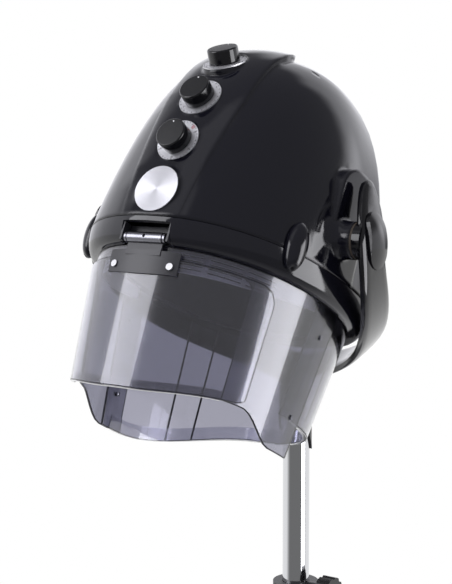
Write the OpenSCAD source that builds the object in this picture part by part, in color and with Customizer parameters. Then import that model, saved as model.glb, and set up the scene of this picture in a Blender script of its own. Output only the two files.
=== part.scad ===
// Standing hood dryer: smoked front visor and neck shield, egg-shaped hood with three controls,
// fork on a telescopic pole, five-leg base on twin-wheel castors.
// Millimetres, +Z up, front towards -Y, origin on the floor under the pole.

/* [Hood] */
// Backward tilt of the hood in the stored pose, degrees
hood_tilt = 26.7; // [25:0.1:28]
// Width of the rim opening
rim_w = 298; // [290:1:306]
// Widest line of the rim to its front
rim_front = 177.5; // [173:0.5:182]
// Widest line of the rim to its back
rim_back = 171.5; // [167:0.5:176]
// Widest line behind the side pivots
rim_shift = 32.7; // [31:0.1:35]
// Bottom of the rim band below the pivots
rim_drop = 72; // [70:0.5:74]
// Seam between band and dome below the pivots
seam_drop = 43; // [42:0.5:44]
// How much wider the seam is than the rim, each side
seam_out = 11.2; // [10:0.1:12]
// Height of the dome above the seam
crown_h = 264; // [258:1:270]
// Crown of the dome behind the pivots
crown_shift = 25; // [22:1:28]
// Wall of the dome and the band
shell_wall = 3; // [2.6:0.1:3.4]
// How far the control spine stands above the crown
spine_rise = 9; // [7:0.5:11]
// Half width of the spine at its top
spine_half = 56; // [52:1:60]
// Half width of the spine at its foot
spine_foot = 37; // [34:1:40]

/* [Controls] */
// Place of the low control up the spine, share of its height
low_share = 0.3612; // [0.352:0.0002:0.37]
// Place of the middle control up the spine, share of its height
mid_share = 0.596; // [0.586:0.0002:0.604]
// Place of the top control up the spine, share of its height
top_share = 0.8168; // [0.806:0.0002:0.827]
// Diameter of the silver dial plates
plate_d = 53; // [50:1:56]
// Thickness of the dial plates
plate_t = 1.6; // [1.2:0.1:2]
// Diameter of the knobs
knob_d = 37; // [34:1:40]
// Height of the knobs
knob_h = 17; // [15:1:19]
// Diameter of the control shafts
shaft_d = 6; // [5:0.5:7]
// Diameter of the bare round badge plate
badge_d = 56; // [52:1:60]
// Height of the badge plate below the pivots
badge_drop = 10; // [7:1:13]

/* [Visor and shield] */
// Thickness of the smoked sheet
sheet_t = 3; // [2.5:0.1:3.5]
// Lowest point of the shield below the pivots
shield_drop = 247; // [240:1:252]
// Lowest point of the visor below the pivots
visor_drop = 232; // [226:1:238]
// Top edge of the visor below the pivots
visor_top = 86; // [84:1:90]
// Hinge axis below the pivots
hinge_drop = 66; // [64:0.5:68]
// Hinge axis ahead of the pivots
hinge_out = 145; // [143:0.5:147]
// Diameter of the hinge barrel
barrel_d = 13; // [12:0.5:14]
// Width of the hinge recess
hinge_w = 66; // [62:1:70]

/* [Fork] */
// Outer face of the fork arms outside the rim, at the pivots
fork_side = 46.5; // [44.5:0.5:48.5]
// Thickness of the fork strap
fork_t = 11.5; // [10.3:0.2:13.1]
// Half of the strap's width in the arms
fork_hw = 26.5; // [24.5:0.2:28.5]
// Tip of the arms above the pivots
tip_rise = 73; // [70:1:76]
// Middle of the fork below the pivots
fork_drop = 187; // [182:1:192]
// Height of the pivot covers
cap_h = 66; // [62:1:68]
// Width of the pivot covers
cap_w = 38; // [36:1:39]

/* [Pole and base] */
// Pivots ahead of the pole
pivot_out = 162; // [160:0.5:164]
// Pivots above the floor
pivot_h = 1350; // [1330:5:1370]
// Diameter of the inner chrome tube
tube_d = 35; // [34:0.5:36]
// Diameter of the outer tube
outer_d = 42; // [41:0.5:43]
// Wall of both tubes
tube_wall = 1.5; // [1.3:0.1:1.6]
// Bottom of the fork's socket below the pivots
socket_drop = 291; // [286:1:296]
// Top of the outer tube below the pivots
outer_drop = 490; // [470:5:510]
// Reach of the legs to the castor stems
leg_reach = 290; // [280:5:300]
// Diameter of the castor wheels
wheel_d = 50; // [46:1:54]
// Radial clearance of turning and sliding fits
run_gap = 0.05; // [0.02:0.01:0.08]
// Overrun of cuts
over = 1; // [0.5:0.5:2]

/* [Hidden] */
$fn = 72;
ring_k = 48;
dome_m = 15;
plan_n = 2.2;
front_p = 1.2; front_q = 3.83;
back_p = 3.67; back_q = 3.48;
side_p = 1.2; side_q = 4.72;
seam_w = rim_w / 2 + seam_out;
fork_half = rim_w / 2 + fork_side;
lip_t = rim_drop - seam_drop;

// Plan curve: half width, front and back half lengths, middle line, height
function pw(v, e) = sign(v) * pow(abs(v), e);
function oval(w, f, b, yc, z, t) = [w * pw(cos(t), 2 / plan_n), yc + (sin(t) < 0 ? f : b) * pw(sin(t),
    2 / plan_n), z];
function oval_ring(w, f, b, yc, z) = [for (i = [0:ring_k - 1]) oval(w, f, b, yc, z, 360 * i / ring_k)];
function fall(h, p, q) = pow(max(0, 1 - pow(h, p)), 1 / q);

// Dome ring at share h of the height; grow adds to the walls, rise to the crown
function dome_yc(h) = rim_shift + (crown_shift - rim_shift) * h;
function dome_front(h, grow) = crown_shift - (crown_shift - rim_shift + rim_front + seam_out + grow)
    * fall(h, front_p, front_q);
function dome_back(h, grow) = crown_shift + (rim_shift - crown_shift + rim_back + seam_out + grow)
    * fall(h, back_p, back_q);
function dome_ring(h, grow, rise) =
  oval_ring((seam_w + grow) * fall(h, side_p, side_q), dome_yc(h) - dome_front(h, grow),
    dome_back(h, grow) - dome_yc(h), dome_yc(h), -seam_drop + (crown_h + rise) * h);
function level(i) = i == dome_m ? 0.9985 : 1 - pow(1 - i / dome_m, 2);
spine_skin = 0.3;
function up_spine(part) = part * (crown_h + spine_rise) - seam_drop;
low_z = up_spine(low_share);
mid_z = up_spine(mid_share);
top_z = up_spine(top_share);
function spine_y(z) = dome_front((z + seam_drop) / (crown_h + spine_rise), spine_skin);

// Lofting: a list of rings with equal counts, closed at both ends or joined end to start
function quads(a, b, k) = [for (i = [0:k - 1]) let (j = (i + 1) % k) each [[a + i, b + i, b + j],
    [a + i, b + j, a + j]]];
module loft(rings, wrap = false) {
  m = len(rings);
  k = len(rings[0]);
  polyhedron(points = [for (r = rings) each r],
    faces = concat([for (i = [0:m - 2]) each quads(i * k, (i + 1) * k, k)],
      wrap ? quads((m - 1) * k, 0, k)
        : [[for (i = [0:k - 1]) i], [for (i = [k - 1:-1:0]) (m - 1) * k + i]]), convexity = 8);
}
module hood_pose() translate([0, -pivot_out, pivot_h]) rotate([-hood_tilt, 0, 0]) children();
module fork_pose() translate([0, -pivot_out, pivot_h]) children();
module both_sides() { children(); mirror([1, 0, 0]) children(); }
module along_x(x) translate([x, 0, 0]) rotate([0, 90, 0]) children();

// Band and lip: section as outset from the rim and depth below the pivots
lip_in = 12;
lip_face = 7;
spigot_in = 4;
spigot_h = 8;
function band_ring(o, z) = oval_ring(rim_w / 2 + o, rim_front + o, rim_back + o, rim_shift, z);
band_bulge_shares = [[0, 0], [0.3, 0.05], [0.62, 0.19], [0.87, 0.48], [0.98, 0.76], [1, 0.96], [0.93, 1]];
band_section = concat([[-lip_in, -rim_drop]],
  [for (s = band_bulge_shares) [s[0] * seam_out, -rim_drop + s[1] * lip_t]],
  [[seam_out - spigot_in, -seam_drop], [seam_out - spigot_in, -seam_drop + spigot_h],
   [seam_out - spigot_in - shell_wall, -seam_drop + spigot_h],
   [seam_out - spigot_in - shell_wall, -rim_drop + lip_face], [-lip_in, -rim_drop + lip_face]]);

module dome_solid(grow, rise) loft([for (i = [0:dome_m]) dome_ring(level(i), grow, rise)]);
module dome_skin() loft(concat(
  [for (i = [dome_m:-1:0]) dome_ring(level(i), -shell_wall, -shell_wall)],
  [for (i = [0:dome_m]) dome_ring(level(i), 0, 0)]));

// Control poses: local +Z points out of the face
lean_low = 6; lean_mid = 17; lean_top = 45;
module control(z, lean) translate([0, spine_y(z), z]) rotate([90 - lean, 0, 0]) children();
module low() hood_pose() control(low_z, lean_low) children();
module mid() hood_pose() control(mid_z, lean_mid) children();
module top() hood_pose() control(top_z, lean_top) children();
module each_control() { control(low_z, lean_low) children(); control(mid_z, lean_mid) children();
    control(top_z, lean_top) children(); }
badge_t = 1.5;
badge_lean = 3;
badge_up = 0.4;
module badge_at() control(-badge_drop, badge_lean) children();
seat_up = -1.5;
neck_d = 12;
neck_gap = 0.2;
unit_deep = 12;
pad_deep = 7;

// Spine: the dome grown by the rise, kept inside the strip's outlines from above and from the front
spine_end = 0;
nose_r = 30;
module spine() intersection() {
  dome_solid(spine_skin, spine_rise);
  translate([-rim_w / 2, 0, 0]) rotate([90, 0, 90]) linear_extrude(rim_w) translate([-nose_r * 0.93,
      crown_h + spine_rise - seam_drop - nose_r * 1.05]) union() {
    circle(nose_r);
    translate([-rim_front * 2, -crown_h * 1.5]) square([rim_front * 2, crown_h * 1.5 + nose_r]);
    translate([-rim_front * 2, -crown_h * 1.5]) square([rim_front * 2 + nose_r, crown_h * 1.5]);
  }
  translate([0, -spine_end - spine_half, -rim_drop]) linear_extrude(crown_h * 2) union() {
    circle(spine_half);
    translate([-spine_half, -rim_front * 2]) square([spine_half * 2, rim_front * 2]);
  }
  rotate([90, 0, 0]) linear_extrude(rim_front * 2) polygon([[-spine_foot, -badge_drop * 6],
      [spine_foot, -badge_drop * 6],
    [spine_half, mid_z], [spine_half, crown_h * 1.5], [-spine_half, crown_h * 1.5], [-spine_half, mid_z]]);
}
boss_d = 44;
boss_out = 28;
boss_deep = 31;
boss_face = rim_w / 2 + boss_out;
boss_root = boss_face - boss_deep;
boss_blend = 20;
bolt_d = 12;
post_d = 12;
deck_z = 107;
deck_t = 3;
deck_r = 92;
post_r = 76;
deck_y = 30;
slot_l = 34;
slot_w = 3.2;
vent_step = 15;
module boss() both_sides() along_x(boss_root) rotate_extrude() union() {
  square([boss_d / 2, boss_face - boss_root]);
  difference() {
    square([boss_d / 2 + boss_blend, boss_blend + over]);
    translate([boss_d / 2 + boss_blend, boss_blend + over]) circle(boss_blend);
  }
}
// Upright land on each flank, in the line of the seam, for the ends of the fork
land_top = 87;
land_front = 22;
land_back = 39;
land_r = 24;
module land() both_sides() intersection() {
  loft([band_ring(seam_out + spine_skin, -seam_drop), band_ring(seam_out + spine_skin, land_top + over)]);
  along_x(boss_root - boss_blend) linear_extrude(rim_w) union() {
    translate([-land_top + land_r, -land_front]) square([land_top + seam_drop - land_r,
        land_front + land_back]);
    translate([-land_top, land_r - land_front]) square([land_r * 2, land_front + land_back - land_r * 2]);
    translate([land_r - land_top, land_r - land_front]) circle(land_r);
    translate([land_r - land_top, land_back - land_r]) circle(land_r);
  }
}
module posts(d) for (a = [45:90:315]) translate([post_r * cos(a), deck_y + post_r * sin(a),
    deck_z + deck_t]) children();
crown_dash = 9;
module vents() {
  for (a = [62:14:118]) translate([0, deck_y, 0]) rotate([0, 0, a])
    for (v = [0:2]) translate([spine_half + vent_step * (v + 0.4), -slot_l * 0.26, crown_h * 0.4])
        cube([slot_w, slot_l * 0.52, crown_h]);
  both_sides() for (p = [[84.5, -30.5, 35], [60.5, -32.5, 45]]) translate([p[0], p[1], crown_h * 0.55])
      rotate([0, 0, p[2]])
    translate([-crown_dash / 2, -slot_w / 3, 0]) cube([crown_dash, slot_w * 0.6, crown_h * 0.5]);
}

module dome_shell() { color("#1b1b20") hood_pose() difference() {
  union() {
    dome_skin();
    difference() {
      union() {
        spine();
        each_control() translate([0, 0, -pad_deep]) cylinder(d = plate_d + over, h = pad_deep);
        badge_at() translate([0, 0, -pad_deep]) cylinder(d = badge_d + over * 2, h = pad_deep + badge_up);
        boss();
        land();
      }
      dome_solid(-shell_wall / 2, -shell_wall / 2);
    }
    intersection() { posts() cylinder(d = post_d, h = crown_h); dome_solid(-shell_wall / 2,
        -shell_wall / 2); }
  }
  each_control() translate([0, 0, -unit_deep * 2]) cylinder(d = neck_d + neck_gap, h = unit_deep * 3);
  each_control() translate([0, 0, seat_up - over / 100]) cylinder(d = plate_d + over, h = knob_h);
  badge_at() translate([0, 0, badge_up - badge_t]) cylinder(d = badge_d + neck_gap, h = knob_h);
  both_sides() along_x(boss_root - over) cylinder(d = bolt_d, h = boss_face);
  vents();
  gland_at() translate([0, 0, -gland_d]) cylinder(d = gland_d * 0.75, h = gland_d * 2);
  posts() translate([0, 0, -over]) cylinder(d = shaft_d / 2, h = post_d + over);
} }

module rim_band() { color("#26262b") hood_pose() difference() {
  loft([for (s = band_section) band_ring(s[0], s[1])], true);
  translate([-hinge_w / 2, -rim_front * 2, -rim_drop - over]) cube([hinge_w, rim_front * 2,
      lip_t * 0.78 + over]);
  bonnet_screws_at() translate([0, 0, -screw_deep]) cylinder(d = screw_d / 2, h = screw_deep * 2);
} }
module band_core() loft([for (s = band_bulge_shares) band_ring(s[0] * seam_out, -rim_drop + s[1] * lip_t)]);

module badge_plate() { color("#c9c9cc") hood_pose() badge_at() translate([0, 0, badge_up - badge_t])
    cylinder(d = badge_d, h = badge_t * 1.6); }

module dial_plate() color("#c4c4c8") translate([0, 0, seat_up]) difference() {
  cylinder(d = plate_d, h = plate_t);
  translate([0, 0, -over]) cylinder(d = neck_d + neck_gap, h = plate_t + over * 2);
  translate([0, 0, plate_t * 0.75]) difference() { cylinder(d = plate_d * 0.95, h = over); cylinder(d =
      plate_d * 0.92, h = over * 3, center = true); }
}
module dial_plate_low() low() dial_plate();
module dial_plate_mid() mid() dial_plate();
module dial_plate_top() top() dial_plate();

knob_lift = 1;
knob_foot = seat_up + plate_t + knob_lift;
knob_edge = 2;
module knob() color("#141417") translate([0, 0, knob_foot]) difference() {
  rotate_extrude() union() {
    square([knob_d / 2 - knob_edge, knob_h]);
    square([knob_d / 2, knob_h - knob_edge]);
    translate([knob_d / 2 - knob_edge, knob_h - knob_edge]) circle(knob_edge);
  }
  translate([0, 0, -over]) cylinder(d = shaft_d, h = knob_h * 0.7 + over);
  translate([0, 0, -over]) difference() { cylinder(d = knob_d - knob_edge * 3, h =
      knob_h * 0.5 + over); cylinder(d = shaft_d * 2.2, h = knob_h * 2, center = true); }
  translate([0, knob_d * 0.38, knob_h - knob_edge / 4]) cylinder(d = knob_edge, h = knob_edge);
}
module knob_low() low() knob();
module knob_mid() mid() knob();
module knob_top() top() knob();

module shaft() color("#b8b8bc") translate([0, 0, -unit_deep - plate_d / 5]) cylinder(d = shaft_d, h =
    unit_deep + plate_d / 5 + knob_foot + knob_h * 0.65);
module shaft_low() low() shaft();
module shaft_mid() mid() shaft();
module shaft_top() top() shaft();

module unit(r, deep, sq) difference() {
  union() {
    translate([0, 0, -unit_deep - deep]) if (sq) translate([-r, -r, 0]) cube([r * 2, r * 2, deep]);
        else cylinder(r = r, h = deep);
    translate([0, 0, -unit_deep]) cylinder(d = neck_d, h = unit_deep + seat_up);
  }
  translate([0, 0, -unit_deep - plate_d / 4]) cylinder(d = shaft_d + run_gap * 2, h =
      unit_deep * 2 + plate_d / 4);
}
module timer_unit() { color("#8d8d90") low() unit(knob_d * 0.47, knob_h, false); }
module heat_switch() { color("#dcdcd6") mid() unit(knob_d * 0.33, plate_d * 0.3, true); }
module speed_switch() { color("#dcdcd6") top() unit(knob_d * 0.33, plate_d * 0.3, true); }

// Smoked sheets: walls that follow the rim's plan, set in and tapering downwards
shield_in = 5; shield_taper = 0.13;
visor_in = 0.8; visor_taper = 0.095;
function wall_pt(t, z, inset, taper) = let (k = inset + taper * (-rim_drop - z))
  oval(rim_w / 2 - k, rim_front - k, rim_back - k, rim_shift, z, t);
function lerp(a, b, s) = a + (b - a) * s;
function step(a, b, v) = let (s = min(1, max(0, (v - a) / (b - a)))) s * s * (3 - 2 * s);
function from_front(t) = abs(t - 270);

// Sheet section at plan angle t between two depths, as a closed loop of rows
sheet_rows = 1;
function sheet_loop(t, zt, zb, inset, taper, thick) = concat(
  [for (i = [0:sheet_rows]) wall_pt(t, lerp(zb, zt, i / sheet_rows), inset + thick, taper)],
  [for (i = [0:sheet_rows]) wall_pt(t, lerp(zt, zb, i / sheet_rows), inset, taper)]);

// Bottom edges against the angle from the front
shield_low = shield_drop - visor_drop;
function shield_zb(f) = -visor_drop + shield_low * 0.9 - shield_low * 1.9 * step(62, 84, f)
    + shield_low * 2.7 * step(96, 180, f);
function visor_zb(f) = -visor_drop + shield_low * 0.9 * step(5, 62, f);
face_arc = 50;
front_arc = 97;
strip_h = 15;
face_turn_arc = 5;
function face_zb(f) = f > face_arc ? shield_zb(f) : -rim_drop - strip_h
  - strip_h * (f < face_arc - face_turn_arc ? 0 : 1 - sqrt(max(0,
      1 - pow((f - face_arc + face_turn_arc) / face_turn_arc,
      2))));
panel_arc = 61;
panel_turn_arc = 9;
panel_half = concat([for (i = [0:13]) (panel_arc - panel_turn_arc) * i / 14], [for (i = [0:6])
    panel_arc - panel_turn_arc * cos(90 * i / 6)]);
panel_angles = concat([for (i = [len(panel_half) - 1:-1:1]) 270 - panel_half[i]], [for (f = panel_half)
    270 + f]);
function corner(f) = f < panel_arc - panel_turn_arc ? 0 : 1 - sqrt(max(0,
    1 - pow((f - panel_arc + panel_turn_arc)
    / panel_turn_arc, 2)));
function visor_zt(f) = -visor_top - plate_d * 0.32 * corner(f);
function visor_zbr(f) = visor_zb(f) + knob_edge * 3 * corner(f);

face_half = concat([for (i = [0:7]) face_arc * i / 8], [for (i = [0:4]) face_arc - 5 + i * 1.2],
    [face_arc + 0.2],
  [for (i = [1:14]) face_arc + (front_arc - face_arc) * i / 14]);
face_angles = concat([for (i = [len(face_half) - 1:-1:1]) 270 - face_half[i]], [for (f = face_half)
    270 + f]);
module front_shield() { color("#7d7d8880") hood_pose() difference() {
  loft([for (t = face_angles) sheet_loop(t, -rim_drop, face_zb(from_front(t)), shield_in, shield_taper,
      sheet_t)]);
  clip_holes();
} }
rear_in = shield_in + sheet_t + neck_gap;
module rear_shield() { color("#7d7d8880") hood_pose() difference() {
  loft([for (i = [0:56]) let (t = -6 + 192 * i / 56) sheet_loop(t, -rim_drop, shield_zb(from_front(t)),
      rear_in, shield_taper, sheet_t)]);
  clip_holes();
} }
module visor() { color("#75758280") hood_pose() difference() {
  loft([for (t = panel_angles) let (f = from_front(t)) sheet_loop(t, visor_zt(f), visor_zbr(f),
      visor_in, visor_taper, sheet_t)]);
  screw_holes();
} }

// Clips that join the front and rear sheets at the flanks
clip_d = 6;
module clips_at() for (s = [-1, 1]) for (v = [0.2, 0.75]) let (z = lerp(-rim_drop, -shield_drop, v),
    p = wall_pt(0.5, z, rear_in, shield_taper))
  translate([s * p[0], p[1], z]) rotate([0, s * 90 + s * 7.4, 0]) children();
module clip_holes() clips_at() translate([0, 0, -sheet_t * 3]) cylinder(d = clip_d * 0.5, h = sheet_t * 6);
module shield_clips() { color("#3a3a40") hood_pose() clips_at() union() {
  translate([0, 0, -sheet_t * 1.35]) cylinder(d = clip_d * 0.5, h = sheet_t * 2.7);
  translate([0, 0, -sheet_t * 1.55]) cylinder(d = clip_d, h = sheet_t * 0.5);
  translate([0, 0, sheet_t * 1.1]) cylinder(d = clip_d, h = sheet_t * 0.5);
} }

// Hinge: bracket in the band's recess, pin, and the leaf that carries the visor
pin_d = 5;
cheek_t = 2.4;
leaf_low = visor_top + 21;
leaf_arc = 16.5;
module hinge_at() hood_pose() translate([0, -hinge_out, -hinge_drop]) children();
module hinge_bracket() { color("#2b2b30") hinge_at() difference() {
  union() {
    both_sides() translate([hinge_w / 2 - cheek_t, -barrel_d * 0.45, -barrel_d * 0.4]) cube([cheek_t,
        barrel_d * 1.2, barrel_d * 1.65]);
    translate([-hinge_w / 2, barrel_d * 0.6, -barrel_d * 0.4]) cube([hinge_w, cheek_t, barrel_d * 1.65]);
  }
  along_x(-hinge_w) cylinder(d = pin_d, h = hinge_w * 2);
} }
module hinge_pin() { color("#c8c8cc") hinge_at() along_x(-hinge_w / 2) cylinder(d = pin_d, h = hinge_w); }
leaf_out = visor_in - sheet_t * 0.75;
module hinge_leaf() { color("#303036") hood_pose() difference() {
  union() {
    translate([-hinge_w * 0.36, wall_pt(270, -visor_top, leaf_out, visor_taper)[1], -visor_top])
        cube([hinge_w * 0.72, sheet_t * 0.75, visor_top - hinge_drop]);
    loft([for (i = [0:16]) let (t = 270 - leaf_arc + leaf_arc * i / 8) sheet_loop(t,
        -visor_top + sheet_t * 2, -leaf_low + abs(i - 8) * 0.2, leaf_out, visor_taper,
        sheet_t * 0.75)]);
  }
  translate([0, -hinge_out, -hinge_drop]) along_x(-hinge_w) cylinder(d = barrel_d, h = hinge_w * 2);
  screw_holes();
} }
barrel_l = 55;
collar_l = 4;
module hinge_barrel() { color("#a9a9ad") hood_pose() translate([0, -hinge_out, -hinge_drop]) difference() {
  union() {
    along_x(-barrel_l / 2 + collar_l) cylinder(d = barrel_d, h = barrel_l - collar_l * 2);
    along_x(-barrel_l / 2) cylinder(d = barrel_d * 0.8, h = barrel_l);
    both_sides() along_x(barrel_l / 2 - collar_l * 0.6) cylinder(d = barrel_d * 0.94, h = collar_l * 0.6);
  }
  along_x(-hinge_w) cylinder(d = pin_d + run_gap * 2, h = hinge_w * 2);
  rotate([90, 0, 0]) cylinder(d = pin_d * 0.8, h = barrel_d);
} }
screw_d = 8;
screw_arc = 12.9;
module screws_at() both_sides() let (p = wall_pt(270 + screw_arc, -visor_top - leaf_low * 0.1, leaf_out,
    visor_taper)) translate(p) rotate([90, 0, 7]) children();
module screw_holes() screws_at() translate([0, 0, -sheet_t * 4]) cylinder(d = screw_d / 2, h = sheet_t * 8);
module visor_screws() { color("#d8d8da") hood_pose() screws_at() union() {
  translate([0, 0, -over / 4]) cylinder(d = screw_d, h = sheet_t * 0.7);
  translate([0, 0, -sheet_t * 1.9]) cylinder(d = screw_d / 2, h = sheet_t * 2);
} }

// Drop-shaped lugs that hang over the seam at the flanks
lug_arc = 330.5;
lug_z = -37;
lug_h = 58;
lug_w = 27;
lug_out = 12;
module lugs_at() both_sides() let (p = wall_pt(lug_arc, lug_z, -seam_out * 1.1, 0)) translate(p)
    rotate([0, 0, lug_arc - 360 - 6]) children();
module side_lugs() { color("#1b1b20") hood_pose() difference() {
  lugs_at() difference() {
    scale([lug_out / lug_h * 2, lug_w / lug_h, 1]) sphere(lug_h / 2, $fn = 44);
    translate([-lug_h, -lug_h, -lug_h]) cube([lug_h * 0.93, lug_h * 2, lug_h * 2]);
    translate([lug_out * 0.3, 0, -lug_h * 0.56]) cylinder(d = bolt_d * 0.4, h = lug_h * 0.2);
  }
  band_core();
  dome_solid(0, 0);
} }

// Dark strips that join the panels of the neck shield, on its inner face
strip_arcs = [36.5, 52, 128, 143.5];
strip_w = 2.4;
strip_t = 1.2;
strip_gap = 0.3;
module neck_strips() { color("#26262b") hood_pose() for (t = strip_arcs) let (o = rear_in + sheet_t
    + strip_gap,
    a = wall_pt(t, -rim_drop - over, o, shield_taper), b = wall_pt(t, shield_zb(from_front(t)) + over,
        o, shield_taper))
  loft([for (z = [b[2], a[2]]) let (c = wall_pt(t, z, o, shield_taper), e = wall_pt(t + 1, z, o,
      shield_taper), u = unit_v(e - c))
    [c - u * strip_w / 2, c + u * strip_w / 2, c + u * strip_w / 2 - strip_in(t) * strip_t,
        c - u * strip_w / 2 - strip_in(t) * strip_t]]); }
function strip_in(t) = unit_v([cos(t), sin(t), 0]);

// Inner bowl, its front air grille and the hot-air plant above it
bowl_in = 24;
bowl_h = 140;
bowl_m = 9;
bowl_p = 2.4;
flange_t = 2.5;
bowl_z = -rim_drop + lip_face;
function bowl_ring(h, wall) = let (s = pow(max(0.004, 1 - pow(h, bowl_p)), 1 / bowl_p), o = -bowl_in - wall)
  oval_ring((rim_w / 2 + o) * s, (rim_front + o) * s, (rim_back + o) * s, rim_shift,
      bowl_z + (bowl_h - wall) * h);
flange_o = seam_out - spigot_in - shell_wall - neck_gap;
module bonnet() { color("#2a2a2e") hood_pose() difference() {
  loft(concat([for (i = [bowl_m:-1:0]) bowl_ring(i / bowl_m, flange_t)], 
    [band_ring(flange_o, bowl_z), band_ring(flange_o, bowl_z + flange_t), band_ring(-bowl_in,
        bowl_z + flange_t)],
    [for (i = [1:bowl_m]) bowl_ring(i / bowl_m, 0)]));
  translate([-hinge_w / 2 - over, -rim_front * 2, bowl_z - over]) cube([hinge_w + over * 2,
      rim_front * 2 - hinge_out + barrel_d * 1.2, crown_h]);
  bonnet_screws_at() translate([0, 0, -screw_deep]) cylinder(d = screw_d / 2, h = screw_deep * 2);
  for (a = [0:30:330]) translate([0, rim_shift, 0]) rotate([0, 0, a]) translate([deck_r * 0.35,
      -slot_w / 2, 0]) cube([deck_r * 0.5, slot_w, bowl_h]);
} }
grille_in = 15;
grille_t = 2;
grille_drop = 96;
function grille_zb(y) = -grille_drop + (grille_drop - rim_drop - 4) * step(-rim_front * 0.8,
    rim_front * 0.6, y);
module air_grille() { color("#55555c") hood_pose() difference() {
  loft([for (i = [0:ring_k]) let (t = 180 + 180 * i / ring_k, zb = grille_zb(wall_pt(t, 0, 0, 0)[1]))
      sheet_loop(t, bowl_z, zb, grille_in, 0.05, grille_t)]);
  for (v = [0:3]) for (a = [-48:16:48]) translate([0, rim_shift, -rim_drop - 4.5 - v * 5]) rotate([0,
      0, a - 90]) translate([rim_front * 0.55, -slot_l * 0.55, 0]) cube([rim_front, slot_l * 1.1,
      slot_w * 0.6]);
} }

motor_d = 72;
motor_h = 44;
spin_d = 8;
fan_r = 46;
fan_z = 82;
fan_h = 20;
blade_t = 1.6;
module at_fan() hood_pose() translate([0, deck_y, 0]) children();
module fan_deck() { color("#9a9a9e") at_fan() translate([0, 0, deck_z]) difference() {
  cylinder(r = deck_r, h = deck_t);
  translate([0, 0, -over]) cylinder(d = spin_d * 2, h = deck_t + over * 2);
  for (a = [45:90:315]) rotate([0, 0, a]) translate([post_r, 0, -over]) cylinder(d = shaft_d * 0.75,
      h = deck_t + over * 2);
  for (a = [0:30:330]) rotate([0, 0, a]) translate([motor_d * 0.56, -slot_w, -over]) cube([slot_w * 3,
      slot_w * 2, deck_t + over * 2]);
} }
module deck_screws() { color("#c8c8cc") at_fan() for (a = [45:90:315]) rotate([0, 0, a])
    translate([post_r, 0, deck_z - sheet_t]) union() {
  cylinder(d = screw_d * 1.2, h = sheet_t);
  cylinder(d = shaft_d / 2, h = sheet_t + deck_t + post_d * 0.7);
} }
module motor() { color("#6f7074") at_fan() difference() {
  union() {
    translate([0, 0, deck_z + deck_t]) cylinder(d = motor_d, h = motor_h);
    translate([0, 0, deck_z + deck_t + motor_h]) cylinder(d = motor_d * 0.35, h = deck_t * 2);
  }
  translate([0, 0, deck_z]) cylinder(d = spin_d + run_gap * 2, h = motor_h * 0.9);
  for (a = [0:45:315]) rotate([0, 0, a]) translate([motor_d * 0.44, -slot_w, deck_z + motor_h * 0.35])
      cube([motor_d, slot_w * 2, motor_h * 0.5]);
} }
module impeller() { color("#b4b6ba") at_fan() union() {
  translate([0, 0, fan_z + fan_h - blade_t]) cylinder(r = fan_r, h = blade_t);
  difference() { translate([0, 0, fan_z]) cylinder(r = fan_r, h = blade_t); translate([0, 0,
      fan_z - over]) cylinder(r = fan_r * 0.72, h = blade_t + over * 2); }
  translate([0, 0, fan_z + fan_h * 0.3]) cylinder(d = spin_d * 2.2, h = fan_h * 0.7);
  translate([0, 0, fan_z + fan_h * 0.3]) cylinder(d = spin_d, h =
      fan_h * 0.7 + deck_z - fan_z - fan_h + deck_t + motor_h * 0.7);
  for (a = [0:15:345]) rotate([0, 0, a]) translate([fan_r * 0.76, 0, fan_z]) rotate([0, 0, 35])
      cube([fan_r * 0.2, blade_t, fan_h]);
} }
coil_r = 66;
coil_d = 7;
module heater_frame() { color("#d9d2bf") at_fan() translate([0, 0, fan_z]) difference() {
  union() {
    cylinder(r = coil_r + coil_d, h = blade_t);
    for (a = [30:60:330]) rotate([0, 0, a]) translate([coil_r - coil_d, -blade_t / 2, 0])
        cube([coil_d * 2, blade_t, deck_z - fan_z]);
  }
  translate([0, 0, -over]) cylinder(r = coil_r - coil_d, h = blade_t + over * 2);
  for (v = [0:1]) translate([0, 0, coil_d + v * coil_d * 1.4]) rotate_extrude() translate([coil_r, 0])
      circle(d = coil_d);
} }
module heater_coil() { color("#9c8f86") at_fan() for (v = [0:1]) translate([0, 0,
    fan_z + coil_d + v * coil_d * 1.4]) rotate_extrude() translate([coil_r, 0]) circle(d = coil_d); }
module thermal_cutout() { color("#c9c9cc") at_fan() rotate([0, 0, 110]) translate([motor_d * 0.75, 0,
    deck_z + deck_t]) union() {
  cylinder(d = motor_d * 0.22, h = sheet_t);
  cylinder(d = motor_d * 0.14, h = sheet_t * 3);
} }
module terminal_block() { color("#e6e2d8") at_fan() rotate([0, 0, 60]) translate([motor_d * 0.62,
    -motor_d * 0.25, deck_z + deck_t]) difference() {
  cube([motor_d * 0.22, motor_d * 0.5, motor_d * 0.18]);
  for (v = [0:2]) translate([motor_d * 0.11, motor_d * (0.09 + v * 0.16), motor_d * 0.06]) cylinder(d =
      shaft_d, h = motor_d);
} }
gland_d = 16;
gland_z = 22;
module gland_at() translate([0, dome_back((gland_z + seam_drop) / crown_h, 0), gland_z]) rotate([-90,
    0, 0]) children();
module cable_gland() { color("#18181a") hood_pose() difference() {
  union() {
    difference() { gland_at() translate([0, 0, -sheet_t]) cylinder(d = gland_d, h = sheet_t * 2.4);
        dome_solid(0, 0); }
    gland_at() translate([0, 0, -sheet_t * 2]) cylinder(d = gland_d * 0.75, h =
        sheet_t * 2 + gland_d * 0.35);
  }
  gland_at() translate([0, 0, -gland_d]) cylinder(d = shaft_d * 1.2, h = gland_d * 3);
} }
screw_deep = 5;
module bonnet_screws_at() for (t = [20, 70, 110, 160, 215, 325]) let (p = wall_pt(t, bowl_z,
    lip_in / 3, 0)) translate(p) children();
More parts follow.
